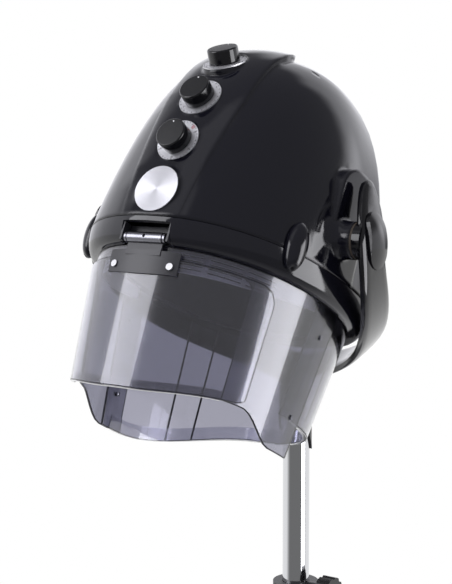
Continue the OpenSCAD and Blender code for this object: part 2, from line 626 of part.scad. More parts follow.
module bonnet_screws() { color("#c8c8cc") hood_pose() bonnet_screws_at() union() {
  translate([0, 0, -screw_deep]) cylinder(d = screw_d / 2, h = screw_deep + flange_t);
  translate([0, 0, flange_t]) cylinder(d = screw_d * 0.7, h = sheet_t * 0.8);
} }

// Fork: one strap swept from tip to tip under the hood
fork_x = fork_half - fork_t / 2;
fork_a = [fork_x, fork_hw * 0.2939, 0];
fork_b = fork_a + [fork_hw * 0.7085, -fork_hw * 1.1279, -fork_drop * 0.5055];
fork_c = [fork_x * 0.6601, pivot_out * 1.2215, -fork_drop * 0.8729];
fork_d = [0, pivot_out * 1.012, -fork_drop];
fork_m = 22;
tip_m = 7;
fork_k = 20;
fork_n = 4;
fork_turn = 0.5;
fork_rise = 27.4;
tip_dir = [-0.254, 0.329, 0.910];
tip_taper = 1.12;
function unit_v(v) = v / norm(v);
function bez(t) = pow(1 - t, 3) * fork_a + 3 * pow(1 - t, 2) * t * fork_b + 3 * (1 - t)
    * t * t * fork_c + t * t * t * fork_d;
function bez_dir(t) = unit_v(pow(1 - t, 2) * (fork_b - fork_a) + 2 * (1 - t) * t * (fork_c - fork_b)
    + t * t * (fork_d - fork_c));
function side_v(t, d) = let (v = (1 - t) * [-sin(fork_turn), cos(fork_turn), 0] + t * [0,
    cos(fork_rise), sin(fork_rise)])
  unit_v(v - (v * d) * d);
function strap_ring(c, d, w, hw, ht, sx) = let (o = cross(d, w)) [for (i = [0:fork_k - 1])
  let (a = 360 * i / fork_k, p = c + w * (hw * pw(cos(a), 2 / fork_n)) + o * (ht * pw(sin(a),
      2 / fork_n))) [p[0] * sx, p[1], p[2]]];
tip_mid = fork_a - bez_dir(0) * tip_rise * 0.45;
tip_end = fork_a + tip_dir * tip_rise;
function strap_hw(t) = fork_hw * (1 - 0.097 * sin(180 * t) + 0.096 * t);
function half_strap(sx) = concat(
  [for (i = [tip_m:-1:1]) let (a = 84 * i / tip_m, u = sin(a), d = unit_v((u - 1) * (tip_mid - fork_a)
      - u * (tip_end - tip_mid)),
      hw = fork_hw * pow(cos(a), tip_taper))
    strap_ring((1 - u) * (1 - u) * fork_a + 2 * u * (1 - u) * tip_mid + u * u * tip_end, d, side_v(0,
        d), hw,
      min(fork_t / 2, hw * 1.2 + fork_t * 0.12), sx)],
  [for (i = [0:fork_m]) let (t = i / fork_m, d = i == fork_m ? [-1, 0, 0] : bez_dir(t))
    strap_ring(bez(t), d, side_v(t, d), strap_hw(t), fork_t / 2, sx)]);
right_half = half_strap(1);
left_half = half_strap(-1);
socket_d = tube_d + 6;
socket_top = fork_drop - fork_t * 0.3;
tube_top = socket_drop - 78;
washer_t = 3;
module fork() { color("#151518") fork_pose() difference() {
  union() {
    loft(concat(right_half, [for (i = [len(left_half) - 2:-1:0]) left_half[i]]));
    intersection() {
      union() {
        translate([0, pivot_out, -socket_drop]) cylinder(d = socket_d, h = socket_drop - socket_top);
        translate([0, pivot_out, -fork_drop - fork_t * 1.9]) cylinder(d1 = socket_d, d2 = socket_d * 1.2,
            h = fork_t * 3);
      }
      translate(fork_d) rotate([fork_rise, 0, 0]) translate([-socket_d, -socket_d, -socket_drop])
        cube([socket_d * 2, socket_d * 2, socket_drop]);
    }
    both_sides() along_x(boss_face + washer_t) cylinder(d = boss_d, h = fork_x - boss_face - washer_t);
  }
  translate([0, pivot_out, -socket_drop - over]) cylinder(d = tube_d + run_gap * 2, h =
      socket_drop - tube_top + over + washer_t);
  both_sides() along_x(boss_face) cylinder(d = bolt_d + run_gap * 2, h = fork_half);
  cap_at() linear_extrude(fork_half) cap_outline(cap_w / 2 + over / 4);
  both_sides() along_x(0) cylinder(d = boss_d + over * 3, h = boss_face + washer_t);
} }
cap_bulge = 7;
cap_lean = 7;
cap_turn = 8;
cap_sink = 3.9;
cap_r = (cap_h * cap_h / 4 + cap_bulge * cap_bulge) / (2 * cap_bulge);
module cap_at() both_sides() translate([fork_half - cap_sink, fork_hw * 0.35, 0]) rotate([-cap_turn, 0,
    0]) rotate([0, 90 - cap_lean, 0]) children();
module cap_outline(r) union() {
  square([cap_h - cap_w, r * 2], center = true);
  for (s = [-1, 1]) translate([s * (cap_h - cap_w) / 2, 0]) circle(r);
}
module pivot_caps() { color("#101013") fork_pose() cap_at() difference() {
  union() {
    linear_extrude(cap_sink) cap_outline(cap_w / 2);
    translate([0, 0, cap_sink - over]) intersection() {
      translate([0, 0, cap_bulge + over - cap_r]) sphere(cap_r);
      linear_extrude(cap_h) cap_outline(cap_w / 2);
    }
  }
  translate([0, -fork_hw * 0.35, -over]) cylinder(d = bolt_d * 1.6, h = cap_sink + cap_bulge * 0.4 + over);
} }
module pivot_bolts() { color("#bdbdc1") hood_pose() both_sides() along_x(boss_root + over) cylinder(d =
    bolt_d, h = fork_half - boss_root); }
module friction_washers() { color("#6b6258") fork_pose() both_sides() along_x(boss_face) difference() {
  cylinder(d = boss_d - over, h = washer_t);
  translate([0, 0, -over]) cylinder(d = bolt_d, h = washer_t + over * 2);
} }

// Telescopic pole
outer_top = pivot_h - outer_drop;
tube_lap = 300;
inner_low = outer_top - tube_lap;
plug_h = 25;
module inner_tube() { color("#d4d6da") translate([0, 0, inner_low]) difference() {
  cylinder(d = tube_d, h = pivot_h - tube_top - inner_low);
  translate([0, 0, -over]) cylinder(d = tube_d - tube_wall * 2, h = pivot_h);
} }
module swivel_plug() { color("#e8e6df") translate([0, 0, pivot_h - tube_top]) union() {
  cylinder(d = tube_d - over, h = washer_t);
  translate([0, 0, -plug_h]) cylinder(d = tube_d - tube_wall * 2, h = plug_h + over);
} }
module guide_plug() { color("#e8e6df") translate([0, 0, inner_low]) difference() {
  union() {
    translate([0, 0, -plug_h / 3]) cylinder(d = outer_d - tube_wall * 2 - run_gap * 2, h = plug_h / 3);
    cylinder(d = tube_d - tube_wall * 2, h = plug_h);
  }
  translate([0, 0, -plug_h]) cylinder(d = shaft_d, h = plug_h * 3);
} }
hub_d = 92;
hub_z = 74;
hub_h = 84;
sleeve_d = 60;
sleeve_h = 74;
module outer_tube() { color("#d4d6da") translate([0, 0, hub_z]) difference() {
  cylinder(d = outer_d, h = outer_top - hub_z);
  translate([0, 0, -over]) cylinder(d = outer_d - tube_wall * 2, h = outer_top);
} }
bush_h = 30;
module pole_bush() { color("#2a2a2c") translate([0, 0, outer_top]) difference() {
  union() {
    translate([0, 0, -bush_h]) cylinder(d = outer_d - tube_wall * 2, h = bush_h);
    cylinder(d = outer_d, h = washer_t);
  }
  translate([0, 0, -bush_h - over]) cylinder(d = tube_d + run_gap * 2, h = bush_h * 2);
} }
stud_d = 10;
sleeve_z = outer_top - sleeve_h + 22;
stud_z = outer_top + 12;
module clamp_sleeve() { color("#1c1c1f") difference() {
  union() {
    translate([0, 0, sleeve_z]) cylinder(d = sleeve_d, h = sleeve_h);
    translate([0, 0, stud_z]) along_x(0) cylinder(d = stud_d * 2.4, h = sleeve_d * 0.62);
  }
  translate([0, 0, sleeve_z - over]) cylinder(d = outer_d, h = outer_top - sleeve_z + over + washer_t);
  translate([0, 0, outer_top]) cylinder(d = tube_d + over, h = sleeve_h);
  translate([0, 0, stud_z]) along_x(0) cylinder(d = stud_d + run_gap * 2, h = sleeve_d);
} }
grip_d = 46;
module clamp_knob() { color("#151518") translate([0, 0, stud_z]) along_x(tube_d / 2 + over / 4) union() {
  cylinder(d = stud_d, h = sleeve_d * 0.55);
  translate([0, 0, sleeve_d * 0.36]) difference() {
    cylinder(d = grip_d, h = grip_d * 0.4);
    for (a = [0:45:315]) rotate([0, 0, a]) translate([grip_d * 0.56, 0, -over]) cylinder(d =
        grip_d * 0.22, h = grip_d);
  }
} }

// Five-leg base and castors
leg_w = 40;
leg_end = 34;
castor_trail = 20;
stem_d = 11;
stem_h = 26;
leg_z = 66;
module leg() union() {
  rotate([90, 0, 0]) translate([0, 0, -leg_w / 2]) linear_extrude(leg_w) polygon([[0,
      hub_z + hub_h * 0.1], [0, hub_z + hub_h * 0.75],
    [leg_reach * 0.35, hub_z + hub_h * 0.48], [leg_reach, leg_z + leg_end * 0.85], [leg_reach, leg_z],
        [leg_reach * 0.35, hub_z + hub_h * 0.1]]);
  translate([leg_reach, 0, leg_z]) cylinder(d = leg_w, h = leg_end);
}
module star_base() { color("#1a1a1d") difference() {
  union() {
    translate([0, 0, hub_z]) cylinder(d = hub_d, h = hub_h * 0.8);
    translate([0, 0, hub_z + hub_h * 0.8]) cylinder(d1 = hub_d, d2 = outer_d + leg_w * 0.4, h =
        hub_h * 0.3);
    for (i = [0:4]) rotate([0, 0, 72 * i - 90]) leg();
  }
  translate([0, 0, hub_z]) cylinder(d = outer_d, h = hub_h * 2);
  for (i = [0:4]) rotate([0, 0, 72 * i - 90]) translate([leg_reach, 0, leg_z - over]) cylinder(d =
      stem_d + run_gap * 2, h = stem_h + over + run_gap);
} }
axle_d = 8;
wheel_w = 18;
fork_gap = 8;
module castor_at(i) rotate([0, 0, 72 * i - 90]) translate([leg_reach, 0, 0]) rotate([0, 0, 90]) children();
module castor_body() color("#202023") difference() {
  union() {
    translate([0, 0, leg_z - washer_t]) cylinder(d = stem_d, h = stem_h + washer_t);
    translate([0, 0, leg_z - washer_t * 2]) cylinder(d = leg_w * 0.6, h = washer_t * 2);
    translate([castor_trail, 0, wheel_d / 2]) rotate([90, 0, 0]) translate([0, 0, -fork_gap / 2])
        difference() {
      union() { cylinder(d = wheel_d * 1.12, h = fork_gap); translate([-castor_trail - leg_w * 0.25, 0,
          0]) cube([leg_w * 0.5, leg_z - washer_t - wheel_d / 2, fork_gap]); }
      translate([-wheel_d, -wheel_d, -over]) cube([wheel_d * 2, wheel_d * 0.8, fork_gap + over * 2]);
    }
    translate([castor_trail, 0, wheel_d / 2]) rotate([90, 0, 0]) translate([0, 0,
        -wheel_w - fork_gap / 2]) difference() {
      cylinder(d = wheel_d * 1.12, h = wheel_w * 2 + fork_gap);
      translate([0, 0, -over]) cylinder(d = wheel_d * 1.05, h = wheel_w * 2 + fork_gap + over * 2);
      translate([-wheel_d, -wheel_d, -over]) cube([wheel_d * 2, wheel_d * 1.15,
          wheel_w * 2 + fork_gap + over * 2]);
    }
  }
  translate([castor_trail, fork_gap, wheel_d / 2]) rotate([90, 0, 0]) cylinder(d =
      axle_d + run_gap * 2, h = fork_gap * 2);
}
module castor_wheels() color("#2c2c30") translate([castor_trail, 0, wheel_d / 2]) rotate([90, 0, 0])
    union() {
  for (s = [0:1]) mirror([0, 0, s]) translate([0, 0, fork_gap / 2 + over / 2]) difference() {
    cylinder(d = wheel_d, h = wheel_w - over);
    translate([0, 0, wheel_w * 0.7]) difference() { cylinder(d = wheel_d * 0.76, h = wheel_w);
        cylinder(d = axle_d * 1.6, h = wheel_w); }
  }
  translate([0, 0, -wheel_w - fork_gap / 2 + over]) cylinder(d = axle_d, h =
      wheel_w * 2 + fork_gap - over * 2);
}
module castor_body_1() castor_at(0) castor_body();
module castor_body_2() castor_at(1) castor_body();
module castor_body_3() castor_at(2) castor_body();
module castor_body_4() castor_at(3) castor_body();
module castor_body_5() castor_at(4) castor_body();
module castor_wheels_1() castor_at(0) castor_wheels();
module castor_wheels_2() castor_at(1) castor_wheels();
module castor_wheels_3() castor_at(2) castor_wheels();
module castor_wheels_4() castor_at(3) castor_wheels();
module castor_wheels_5() castor_at(4) castor_wheels();

// Draw the chosen sub-parts
star_base();
castor_body_1();
castor_body_2();
castor_body_3();
castor_body_4();
castor_body_5();
castor_wheels_1();
castor_wheels_2();
castor_wheels_3();
castor_wheels_4();
castor_wheels_5();
outer_tube();
pole_bush();
clamp_sleeve();
clamp_knob();
inner_tube();
guide_plug();
swivel_plug();
fork();
pivot_caps();
pivot_bolts();
friction_washers();
dome_shell();
rim_band();
badge_plate();
dial_plate_low();
dial_plate_mid();
dial_plate_top();
knob_low();
knob_mid();
knob_top();
shaft_low();
shaft_mid();
shaft_top();
timer_unit();
heat_switch();
speed_switch();
hinge_bracket();
hinge_pin();
hinge_leaf();
hinge_barrel();
visor();
visor_screws();
front_shield();
rear_shield();
shield_clips();
side_lugs();
neck_strips();
bonnet();
air_grille();
fan_deck();
deck_screws();
motor();
impeller();
heater_frame();
heater_coil();
thermal_cutout();
terminal_block();
cable_gland();
bonnet_screws();
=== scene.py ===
"""Dressing of the standing hood dryer: finishes for its solids, dial marks and the studio."""
import math

import bmesh
import bpy
from mathutils import Matrix, Vector


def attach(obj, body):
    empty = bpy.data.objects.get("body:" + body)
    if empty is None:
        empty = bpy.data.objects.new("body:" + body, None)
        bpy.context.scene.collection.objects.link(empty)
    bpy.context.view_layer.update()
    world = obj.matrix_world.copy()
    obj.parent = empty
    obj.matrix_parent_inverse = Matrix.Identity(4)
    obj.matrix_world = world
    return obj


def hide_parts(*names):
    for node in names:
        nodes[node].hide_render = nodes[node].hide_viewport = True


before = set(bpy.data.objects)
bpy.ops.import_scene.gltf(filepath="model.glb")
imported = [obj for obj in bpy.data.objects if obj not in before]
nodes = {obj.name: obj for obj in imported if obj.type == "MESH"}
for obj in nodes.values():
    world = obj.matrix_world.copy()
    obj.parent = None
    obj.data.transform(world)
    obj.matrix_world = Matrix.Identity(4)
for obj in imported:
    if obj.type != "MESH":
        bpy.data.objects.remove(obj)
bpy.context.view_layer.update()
MM = 0.001

# Sizes repeated from the part's source, in millimetres and degrees
HOOD_TILT = 26.7
PIVOT = Vector((0, -162, 1350))
CONTROLS = {"low": (55.608, 6), "mid": (119.708, 17), "top": (179.986, 45)}
PLATE_R = 26.5
PLATE_TOP = 0.1
KNOB_R = 18.5
KNOB_FOOT = 1.1
KNOB_H = 17
BADGE_DROP = 10
BADGE_LEAN = 3
AXIS_Y = 25
SEAM_DROP = 43
CROWN_H = 264
SPINE_RISE = 9
SPINE_REACH = 181.3
SPINE_EXPONENTS = (1.2, 3.83)


def spine_y(z):
    """Front of the raised control spine at height z over the pivots."""
    share = (z + SEAM_DROP) / (CROWN_H + SPINE_RISE)
    fall = (1 - share ** SPINE_EXPONENTS[0]) ** (1 / SPINE_EXPONENTS[1])
    return AXIS_Y - SPINE_REACH * fall


HOOD = Matrix.Translation(PIVOT) @ Matrix.Rotation(math.radians(-HOOD_TILT), 4, "X")


def control_frame(z, lean):
    """Frame of a piece on the spine, millimetres: +Z out of the face, +Y up the spine."""
    spot = Matrix.Translation((0, spine_y(z), z))
    return HOOD @ spot @ Matrix.Rotation(math.radians(90 - lean), 4, "X")


# Finishes
def rgb(code):
    """sRGB hex to linear colour."""
    out = []
    for i in (1, 3, 5):
        v = int(code[i:i + 2], 16) / 255
        out.append(v / 12.92 if v <= 0.04045 else ((v + 0.055) / 1.055) ** 2.4)
    return (*out, 1.0)


def add(tree, kind, settings=None, links=None):
    """Adds one node with its settings and links."""
    n = tree.nodes.new(kind)
    for key, value in (settings or {}).items():
        if isinstance(key, int) or key in n.inputs:
            n.inputs[key].default_value = value
        else:
            setattr(n, key, value)
    for key, source in (links or {}).items():
        tree.links.new(source, n.inputs[key])
    return n


def maths(tree, operation, *terms):
    """Value of a math node; each term is a number or a socket."""
    n = add(tree, "ShaderNodeMath", {"operation": operation})
    for place, term in enumerate(terms):
        if isinstance(term, (int, float)):
            n.inputs[place].default_value = term
        else:
            tree.links.new(term, n.inputs[place])
    return n.outputs["Value"]


def noise(tree, size_mm, detail, vector):
    """Noise whose features are about the given size."""
    settings = {"Scale": 1 / (size_mm * MM), "Detail": detail}
    return add(tree, "ShaderNodeTexNoise", settings, {"Vector": vector}).outputs["Fac"]


def object_place(tree):
    """Object coordinates, metres."""
    return add(tree, "ShaderNodeTexCoord").outputs["Object"]


def seen_from(tree, axis_frame, place):
    """Object coordinates as an axis frame sees them."""
    back = axis_frame.inverted()
    settings = {"Rotation": tuple(back.to_euler()), "Location": tuple(back.to_translation() * MM)}
    return add(tree, "ShaderNodeMapping", settings, {"Vector": place}).outputs["Vector"]


def finish_named(name, colour, settings):
    """A material with its shader's constants set; returns it with its tree and shader."""
    m = bpy.data.materials.new(name)
    m.use_nodes = True
    shader = m.node_tree.nodes["Principled BSDF"]
    shader.inputs["Base Color"].default_value = rgb(colour)
    for key, value in settings.items():
        shader.inputs[key].default_value = value
    m.diffuse_color = rgb(colour)
    return m, m.node_tree, shader


def relief(tree, shader, height, depth_mm):
    """Links a height field to the shader as a bump of the given depth."""
    settings = {"Strength": 1.0, "Distance": depth_mm * MM}
    bump = add(tree, "ShaderNodeBump", settings, {"Height": height})
    tree.links.new(bump.outputs["Normal"], shader.inputs["Normal"])
    return bump


def spread(tree, value, low, high):
    """Maps a 0 to 1 pattern to a range."""
    settings = {"To Min": low, "To Max": high}
    return add(tree, "ShaderNodeMapRange", settings, {"Value": value}).outputs["Result"]


# Depth of the orange peel and size of its hazier patches, millimetres
PEEL_DEPTH = 0.02
HAZE_MM = 60


def gloss_abs(name, colour, rough, peel_mm=7.0, round_mm=0.0):
    """Gloss ABS from a polished mould: deep clear reflections that waver slightly over its orange peel."""
    m, tree, shader = finish_named(name, colour, {"IOR": 1.5, "Roughness": rough})
    place = object_place(tree)
    peel = noise(tree, peel_mm, 1.0, place)
    haze = noise(tree, HAZE_MM, 3.0, place)
    tree.links.new(spread(tree, haze, rough * 0.8, rough * 1.3), shader.inputs["Roughness"])
    bump = relief(tree, shader, peel, PEEL_DEPTH)
    if round_mm:
        soft = add(tree, "ShaderNodeBevel", {"samples": 8, "Radius": round_mm * MM})
        tree.links.new(soft.outputs["Normal"], bump.inputs["Normal"])
    return m


# Depth of the eroded grain, millimetres
GRAIN_DEPTH = 0.06


def spark_abs(name, colour, rough=0.45, grain_mm=1.2):
    """Black ABS from a spark-eroded mould: a fine even grain that breaks the highlight into a soft sheen."""
    m, tree, shader = finish_named(name, colour, {"IOR": 1.5, "Roughness": rough})
    grain = noise(tree, grain_mm, 3.0, object_place(tree))
    tree.links.new(spread(tree, grain, rough * 0.85, rough * 1.2), shader.inputs["Roughness"])
    relief(tree, shader, grain, GRAIN_DEPTH)
    return m


# Clear body under a thin wiped film, which keeps the reflections of lamps soft; waves of the drawn sheet
ACRYLIC = {"IOR": 1.49, "Roughness": 0.02, "Transmission Weight": 1.0,
           "Coat Weight": 0.8, "Coat Roughness": 0.2, "Coat IOR": 1.5}
DRAW_MM = 45
DRAW_DEPTH = 0.15


def smoked_acrylic(name, tint):
    """Smoked acrylic sheet: clear grey with a violet cast, its highlights soft at the edges."""
    m, tree, shader = finish_named(name, tint, ACRYLIC)
    relief(tree, shader, noise(tree, DRAW_MM, 1.0, object_place(tree)), DRAW_DEPTH)
    return m


# Width of the streaks and how far they are drawn out along the tube
STREAK_MM = 1.5
STREAK_SHARE = 0.02


def chrome_plate(name, colour, rough=0.06):
    """Chromed drawn tube: a mirror with faint streaks along the draw."""
    m, tree, shader = finish_named(name, colour, {"Metallic": 1.0, "Roughness": rough})
    long = add(tree, "ShaderNodeMapping", {"Scale": (1, 1, STREAK_SHARE)}, {"Vector": object_place(tree)})
    streak = noise(tree, STREAK_MM, 2.0, long.outputs["Vector"])
    tree.links.new(spread(tree, streak, rough * 0.7, rough * 1.5), shader.inputs["Roughness"])
    return m


# Depth of the turning marks, millimetres, how far brushed ones run, and how far the sheen fans out
TURN_DEPTH = 0.03
BRUSH_SHARE = 0.04
SHEEN = 0.8


def turned_metal(name, colour, rough, turn_mm, axis_frame=None, metallic=1.0):
    """Metal turned about an axis frame, its sheen in bright fans; without one it is brushed straight."""
    m, tree, shader = finish_named(name, colour, {"Metallic": metallic, "Roughness": rough})
    place = object_place(tree)
    if axis_frame is not None:
        local = seen_from(tree, axis_frame, place)
        flat = add(tree, "ShaderNodeVectorMath", {"operation": "MULTIPLY", 1: (1, 1, 0)}, {0: local})
        flat = flat.outputs["Vector"]
        radius = add(tree, "ShaderNodeVectorMath", {"operation": "LENGTH"}, {0: flat})
        settings = {"noise_dimensions": "1D", "Scale": 1 / (turn_mm * MM), "Detail": 2.0}
        lines = add(tree, "ShaderNodeTexNoise", settings, {"W": radius.outputs["Value"]}).outputs["Fac"]
        settings = {"operation": "CROSS_PRODUCT", 1: (0, 0, 1)}
        round_it = add(tree, "ShaderNodeVectorMath", settings, {0: flat}).outputs["Vector"]
        settings = {"vector_type": "VECTOR", "Rotation": tuple(axis_frame.to_euler())}
        along = add(tree, "ShaderNodeMapping", settings, {"Vector": round_it}).outputs["Vector"]
        settings = {"vector_type": "VECTOR", "convert_from": "OBJECT", "convert_to": "WORLD"}
        along = add(tree, "ShaderNodeVectorTransform", settings, {"Vector": along}).outputs["Vector"]
        shader.inputs["Anisotropic"].default_value = SHEEN
        tree.links.new(along, shader.inputs["Tangent"])
    else:
        long = add(tree, "ShaderNodeMapping", {"Scale": (BRUSH_SHARE, 1, 1)}, {"Vector": place})
        lines = noise(tree, turn_mm, 2.0, long.outputs["Vector"])
    tree.links.new(spread(tree, lines, rough * 0.6, rough * 1.5), shader.inputs["Roughness"])
    relief(tree, shader, lines, TURN_DEPTH)
    return m


# Where the knob's gloss turns matte under its top face, both roughnesses, and size and depth of its grain
KNOB_TOP = KNOB_FOOT + KNOB_H
FACE_DROPS = (0.4, 0.1)
GLOSS, MATTE = 0.1, 0.42
KNOB_GRAIN = (0.8, 0.015)


def knob_abs(name, colour, axis_frame):
    """Two-finish moulded knob: polished skirt and edge, eroded matte top face."""
    m, tree, shader = finish_named(name, colour, {"IOR": 1.5, "Roughness": GLOSS})
    place = object_place(tree)
    parts = add(tree, "ShaderNodeSeparateXYZ", None, {"Vector": seen_from(tree, axis_frame, place)})
    settings = {"From Min": (KNOB_TOP - FACE_DROPS[0]) * MM, "From Max": (KNOB_TOP - FACE_DROPS[1]) * MM,
                "To Min": GLOSS, "To Max": MATTE}
    face = add(tree, "ShaderNodeMapRange", settings, {"Value": parts.outputs["Z"]})
    tree.links.new(face.outputs["Result"], shader.inputs["Roughness"])
    relief(tree, shader, noise(tree, KNOB_GRAIN[0], 2.0, place), KNOB_GRAIN[1])
    return m


def plain_moulded(name, colour, rough, spot_mm, depth_mm, metallic=0.0):
    """Inner and foot parts: an even colour with the mottling of its process."""
    m, tree, shader = finish_named(name, colour, {"Roughness": rough, "Metallic": metallic})
    spots = noise(tree, spot_mm, 4.0, object_place(tree))
    ramp = add(tree, "ShaderNodeValToRGB", None, {"Fac": spots})
    for stop, share in zip(ramp.color_ramp.elements, (0.8, 1.15)):
        stop.color = (*[min(1, c * share) for c in rgb(colour)[:3]], 1)
    tree.links.new(ramp.outputs["Color"], shader.inputs["Base Color"])
    tree.links.new(spread(tree, spots, rough * 0.85, min(1, rough * 1.15)), shader.inputs["Roughness"])
    relief(tree, shader, spots, depth_mm)
    return m


BADGE = control_frame(-BADGE_DROP, BADGE_LEAN)
# Blue-black mouldings: a mirror gloss on the dome, hazier on the band, deepest on the fork
dome_abs = gloss_abs("Gloss_ABS_dome", "#0e0e16", 0.07, 9.0, 7.0)
band_abs = gloss_abs("Gloss_ABS_band", "#13131a", 0.09)
fork_lacquer = gloss_abs("Gloss_lacquer_fork", "#09090d", 0.08, 10.0)
# Matte black parts that only catch a soft sheen, and the grey grille whose slots show through the visor
hinge_abs = spark_abs("Spark_eroded_ABS_hinge", "#26262b", 0.35)
bonnet_abs = spark_abs("Spark_eroded_ABS_bonnet", "#1c1c20", 0.5)
grille_abs = spark_abs("Grey_ABS_grille", "#c4c4cc", 0.4)
base_nylon = spark_abs("Glass_filled_nylon_base", "#18181a", 0.42, 1.6)
# Smoked sheets: a tint each for visor and neck, front, and the visor's turned-in edge, with a paler tint on
# the neck's turned-in edge as a painted sheen; the cut faces take a dark grey as painted shade, the level
# faces of the turned-in edges a pale grey as a painted highlight
smoked = smoked_acrylic("Smoked_acrylic_sheet", "#a8a8b6")
smoked_front = smoked_acrylic("Smoked_acrylic_front", "#9292a1")
smoked_lip = smoked_acrylic("Smoked_acrylic_lip", "#85858f")
# Painted sheen: the neck's turned-in edge takes a paler tint than its own sheet
smoked_hem_painted_sheen = smoked_acrylic("Smoked_acrylic_hem_painted_sheen", "#d2d2dc")
# Painted shade: the cut faces of the sheets take an opaque dark grey
painted_shade_cut = plain_moulded("Painted_shade_acrylic_cut", "#2b2b33", 0.25, 6, 0.01)
# Painted highlight: the level faces of the turned-in edges take an opaque pale grey
hem_ledge_painted_highlight = plain_moulded("Painted_highlight_hem_ledge", "#9c9ca8", 0.2, 6, 0.01)
# Metals: satin barrel, mirror tubes, dull zinc, and a badge whose sheen turns round its middle
satin_barrel = turned_metal("Satin_zinc_barrel", "#8f8f96", 0.28, 0.5)
tube_chrome = chrome_plate("Chromed_drawn_tube", "#d9dadd")
zinc_steel = turned_metal("Zinc_plated_steel", "#b9b9bc", 0.3, 0.5)
satin_badge = turned_metal("Turned_aluminium_badge", "#cdcdd2", 0.38, 0.6, BADGE, 0.75)
# Parts inside and at the foot, each in the plain colour of its material
washer_fibre = plain_moulded("Friction_washer_fibre", "#3b332b", 0.7, 2, 0.05)
tread = plain_moulded("Castor_rubber", "#1b1b1c", 0.62, 1.5, 0.06)
white_pbt = plain_moulded("White_PBT_switches", "#dcdbd4", 0.4, 3, 0.02)
mica = plain_moulded("Mica_board", "#c9bd9c", 0.6, 5, 0.08)
coil_wire = plain_moulded("Resistance_wire", "#85766c", 0.4, 2, 0.1, 1.0)
motor_steel = plain_moulded("Motor_laminations", "#6f7074", 0.4, 1.0, 0.05, 1.0)
fan_aluminium = turned_metal("Pressed_aluminium_fan", "#c8cacd", 0.32, 0.8)
plug_nylon = plain_moulded("Natural_nylon_plugs", "#e2dfd4", 0.45, 4, 0.02)
# Inks of the dials and the knobs' dots
mark_ink = plain_moulded("Printed_dial_marks", "#26262c", 0.5, 2, 0.01)
red_ink = plain_moulded("Printed_red_mark", "#9c3038", 0.5, 2, 0.01)
white_ink = plain_moulded("White_pointer_dot", "#e8e8ea", 0.45, 2, 0.01)


# Pieces
def paint(obj, material):
    obj.data.materials.clear()
    obj.data.materials.append(material)


def new_piece(name, bm, material, body):
    """A bmesh becomes an object at the origin that rides on a body."""
    mesh = bpy.data.meshes.new(name)
    bm.to_mesh(mesh)
    bm.free()
    obj = bpy.data.objects.new(name, mesh)
    bpy.context.scene.collection.objects.link(obj)
    paint(obj, material)
    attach(obj, body)
    return obj


def shade_smooth(bm, arc):
    """Smooth faces, with sharp edges where they turn by more than an arc in degrees."""
    for f in bm.faces:
        f.smooth = True
    for e in bm.edges:
        e.smooth = e.is_manifold and e.calc_face_angle(math.pi) < math.radians(arc)


MERGE = 2e-6
SMOOTH_ARC = 34


def smoothed(node, material, body):
    """A merged and smoothly shaded copy of a node's mesh stands for the node."""
    bm = bmesh.new()
    bm.from_mesh(nodes[node].data)
    bmesh.ops.remove_doubles(bm, verts=bm.verts, dist=MERGE)
    shade_smooth(bm, SMOOTH_ARC)
    obj = new_piece(node + "_dressed", bm, material, body)
    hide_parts(node)
    return obj


# Radius of the eased edges, the turn that makes an edge, and how square to the sheet a cut face stands
EDGE_EASE = 1.1
EDGE_ARC = 60
CUT_SHARE = 0.5


def across(obj):
    """A sheet's edges are eased all round; these and faces that look along it get the second material, a
    dark grey that paints shade on the cut.
    """
    bm = bmesh.new()
    bm.from_mesh(obj.data)
    sharp = [e for e in bm.edges if e.is_manifold and e.calc_face_angle(0) > math.radians(EDGE_ARC)]
    ease = {"offset": EDGE_EASE * MM, "segments": 2, "profile": 0.5, "affect": "EDGES", "material": 1}
    bmesh.ops.bevel(bm, geom=sharp, **ease)
    bm.to_mesh(obj.data)
    bm.free()
    back = HOOD.inverted()
    turn = back.to_3x3()
    obj.data.materials.append(painted_shade_cut)
    for f in obj.data.polygons:
        spot = back @ (f.center / MM)
        out = Vector((spot.x, spot.y - AXIS_Y, 0)).normalized()
        if abs((turn @ f.normal).dot(out)) < CUT_SHARE:
            f.material_index = 1


# Steps round the sheet, and the height over its edge from which faces belong to a hole
BIN_ARC = 3
HOLE_RISE = 5
EVEN_OUT = 3


def lower_edge(node, far_side):
    """Mid points of a sheet's lower edge, hood frame, millimetres, from end to end round the axis."""
    back = HOOD.inverted()
    turn = back.to_3x3()
    bins = {}
    for f in nodes[node].data.polygons:
        if (turn @ f.normal).z < -CUT_SHARE:
            p = back @ (f.center / MM)
            a = math.degrees(math.atan2(p.x, (p.y - AXIS_Y) * (1 if far_side else -1)))
            bins.setdefault(round(a / BIN_ARC), []).append(p)
    row = []
    for _, group in sorted(bins.items()):
        floor = min(p.z for p in group) + HOLE_RISE
        group = [p for p in group if p.z < floor]
        row.append(sum(group, Vector()) / len(group))
    for _ in range(EVEN_OUT):
        row = row[:1] + [(a + 2 * b + c) / 4 for a, b, c in zip(row, row[1:], row[2:])] + row[-1:]
    return row


# The strip starts outside and below the edge's middle; its wall, the arc that it is shaded smooth to, and
# how level a face stands to take the painted highlight
HEM_PROUD = 1.1
HEM_DROP = 0.8
HEM_WALL = 1.5
HEM_SMOOTH_ARC = 40
LEVEL_SHARE = 0.6


